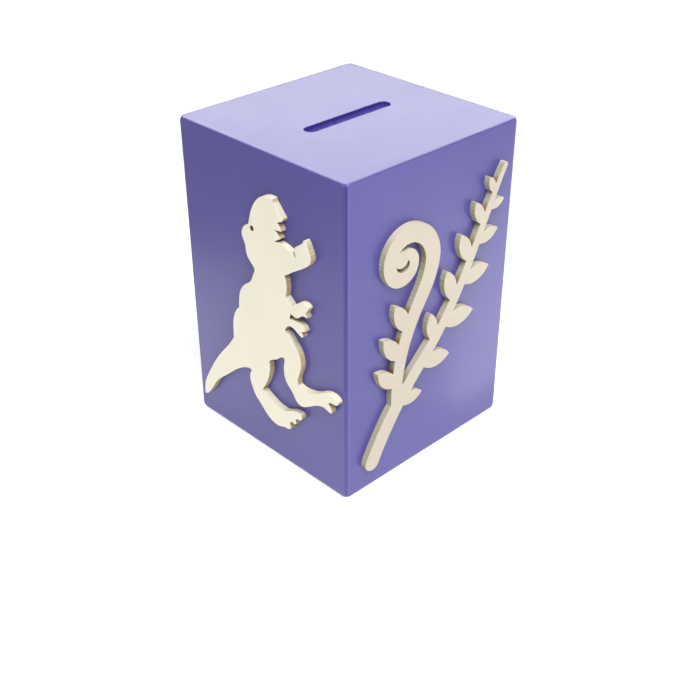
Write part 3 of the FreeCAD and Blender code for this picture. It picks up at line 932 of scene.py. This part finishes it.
def black_rubber():
    """Matt moulded rubber with a little bloom and dust."""
    s = Shader("black_rubber")
    bloom = s.spread(s.speckle(140, 4), 0.45, 0.75)
    colour = s.blend(bloom, *RUBBER)
    roughness = s.spread(s.speckle(400, 3), 0.3, 0.7, 0.48, 0.66)
    return s.done(colour, roughness, s.bump(s.speckle(2400, 2), 0.00004, 0.6))


def brad_steel():
    """Bright drawn steel of the hidden brads."""
    s = Shader("brad_steel")
    s.bsdf.inputs["Metallic"].default_value = 1
    streaks = s.speckle(900, 3)
    colour = s.blend(streaks, *STEEL)
    return s.done(colour, s.spread(streaks, 0.3, 0.7, 0.25, 0.42), s.bump(streaks, 0.00002, 0.4))


# ---- stage --------------------------------------------------------------------------
LENS = 57.12               # millimetres, on a 36 mm sensor
EYE = (-308.44, -316.24, 311.79)     # millimetres about the box's axis
AIM = (-41.71, -43.7, 70.27)
FLOOR_DROP = 0.0001        # keeps the floor just clear of the box's underside
FLOOR_REACH = 3.0
NEAR_GLOW = (0.08, 0.36, 0.44, 0)    # start, end and strengths of the light up through the table
FAR_GLOW = (0.29, 1.15, 0, 0.65)     # keeps the far floor as pale as the near one
SKY = (0.04, 0.22, 0.72, 0.14)       # pale at the horizon and dim above
# Name, place, aim, size and power of each area light, in metres and watts.
SOFTBOXES = (("back_softbox", (0.95, 0.97, 0.72), (0, 0, 0.14), (1.5, 0.35), 10.1),
             ("left_softbox", (-0.45, -0.45, 1.1), (0, 0, 0), (0.7, 0.7), 9.4),
             ("front_softbox", (-0.10, -0.60, 1.1), (0, 0, 0), (0.7, 0.7), 11.6))
# Cards that lie on the table and show only in gloss: strength, then corners in millimetres.
CARD_LEVEL = 1.0
CARDS = (("left_dim_card", 0.36, ((-190, 120), (-420, 60), (-620, 700), (-150, 560), (-110, 210))),
         ("left_bright_card", 2.0, ((-54, 54), (-122, 126), (-136, 260), (-54, 130))),
         ("right_dim_card", 0.5, ((250, -262), (500, -230), (900, -500), (500, -800))),
         ("right_bright_card", 3.0, ((32, -64), (330, -56), (420, -170), (182, -190))))


def camera():
    data = bpy.data.cameras.new("camera")
    data.lens = LENS
    data.sensor_width = 36
    data.clip_start = 0.01
    eye = bpy.data.objects.new("camera", data)
    bpy.context.scene.collection.objects.link(eye)
    eye.location = Vector(EYE) * MM + AXIS
    aim = Vector(AIM) * MM + AXIS
    eye.rotation_euler = (aim - eye.location).to_track_quat("-Z", "Y").to_euler()
    bpy.context.scene.camera = eye


def sky():
    """Plain white surroundings, brighter at the horizon than overhead."""
    world = bpy.data.worlds.new("studio")
    bpy.context.scene.world = world
    world.use_nodes = True
    nodes, links = world.node_tree.nodes, world.node_tree.links
    nodes["Background"].inputs["Color"].default_value = (1, 1, 1, 1)
    direction = nodes.new("ShaderNodeSeparateXYZ")
    links.new(nodes.new("ShaderNodeTexCoord").outputs["Generated"], direction.inputs["Vector"])
    fall = nodes.new("ShaderNodeMapRange")
    for name, value in zip(("From Min", "From Max", "To Min", "To Max"), SKY):
        fall.inputs[name].default_value = value
    links.new(direction.outputs["Z"], fall.inputs["Value"])
    links.new(fall.outputs["Result"], nodes["Background"].inputs["Strength"])


def softbox(name, place, aim, size, power):
    data = bpy.data.lights.new(name, "AREA")
    data.shape = "RECTANGLE"
    data.size, data.size_y = size
    data.energy = power
    lamp = bpy.data.objects.new(name, data)
    bpy.context.scene.collection.objects.link(lamp)
    lamp.location = place
    lamp.rotation_euler = (Vector(aim) - Vector(place)).to_track_quat("-Z", "Y").to_euler()
    lamp.visible_camera = False


def staged(name, bm):
    """A mesh in metres that belongs to the stage."""
    mesh = bpy.data.meshes.new(name)
    bm.to_mesh(mesh)
    bm.free()
    thing = bpy.data.objects.new(name, mesh)
    bpy.context.scene.collection.objects.link(thing)
    return thing


def pale_floor():
    """White table, lit from below a little so that it stays pale all over."""
    s = Shader("pale_floor")
    tone = s.speckle(6, 2)
    axes = s.axes()
    reach = s.math("SQRT", s.math("ADD", s.math("MULTIPLY", axes["X"], axes["X"]),
                                  s.math("MULTIPLY", axes["Y"], axes["Y"])), 0)
    s.bsdf.inputs["Emission Color"].default_value = (1, 1, 1, 1)
    glow = s.math("ADD", s.spread(reach, *NEAR_GLOW), s.spread(reach, *FAR_GLOW))
    s.link(glow, s.bsdf.inputs["Emission Strength"])
    return s.done(s.blend(tone, *FLOOR), s.spread(tone, 0.3, 0.7, 0.75, 0.85),
                  s.bump(s.speckle(300, 2), 0.0001, 0.1))


def floor():
    bm = bmesh.new()
    bmesh.ops.create_grid(bm, x_segments=8, y_segments=8, size=FLOOR_REACH)
    table = staged("floor", bm)
    table.location.z = -FLOOR_DROP
    table.data.materials.append(pale_floor())


def card(name, strength, corners):
    """A glowing card that only shows in gloss."""
    bm = bmesh.new()
    bm.faces.new([bm.verts.new(Vector((x, y, CARD_LEVEL)) * MM + AXIS) for x, y in corners])
    piece = staged(name, bm)
    piece.visible_camera = False
    piece.visible_diffuse = False
    piece.visible_shadow = False
    s = Shader(name)
    s.bsdf.inputs["Base Color"].default_value = (0, 0, 0, 1)
    s.bsdf.inputs["Emission Color"].default_value = (1, 1, 1, 1)
    glow = s.spread(s.speckle(6, 2), 0.3, 0.7, 0.97 * strength, 1.03 * strength)
    s.link(glow, s.bsdf.inputs["Emission Strength"])
    piece.data.materials.append(s.material)


def studio():
    """Plain pale floor, a broad soft light behind, two above, and cards for the gloss."""
    bpy.context.scene.view_settings.view_transform = "Standard"
    sky()
    for box in SOFTBOXES:
        softbox(*box)
    floor()
    for sheet in CARDS:
        card(*sheet)


# ---- build --------------------------------------------------------------------------
def build():
    board = [lavender_paint(), bare_board()]
    left_cream = cream_and_cut_edge("dinosaur_paint", CREAM, CUT_WOOD, 0.30)
    front_cream = cream_and_cut_edge("fern_paint", FRONT_CREAM, FRONT_CUT_WOOD, 0.35)
    quarter = math.pi / 2
    wall("front_board", "front_wall", front_ring, 0, 1.3, board)
    wall("back_board", "back_wall", front_ring, 2 * quarter, 4.1, board)
    wall("left_board", "left_wall", side_ring, 0, 0, board)
    wall("right_board", "right_wall", side_ring, 2 * quarter, 0, board)
    top_board(board + [slot_paint()])
    applied_shape("dinosaur_plate", "dinosaur_cutout", 0, [left_cream], 2.7)
    applied_shape("fern_plate", "fern_cutout", 1, [front_cream], 8.4)
    ply_base([ply_face(), ply_layers()])
    rubber_stopper(black_rubber())
    steel = brad_steel()
    for node in ("front_wall_brads", "back_wall_brads", "top_brads"):
        materials = frame["nodes"][node].data.materials
        materials.clear()
        materials.append(steel)


build()
camera()
studio()
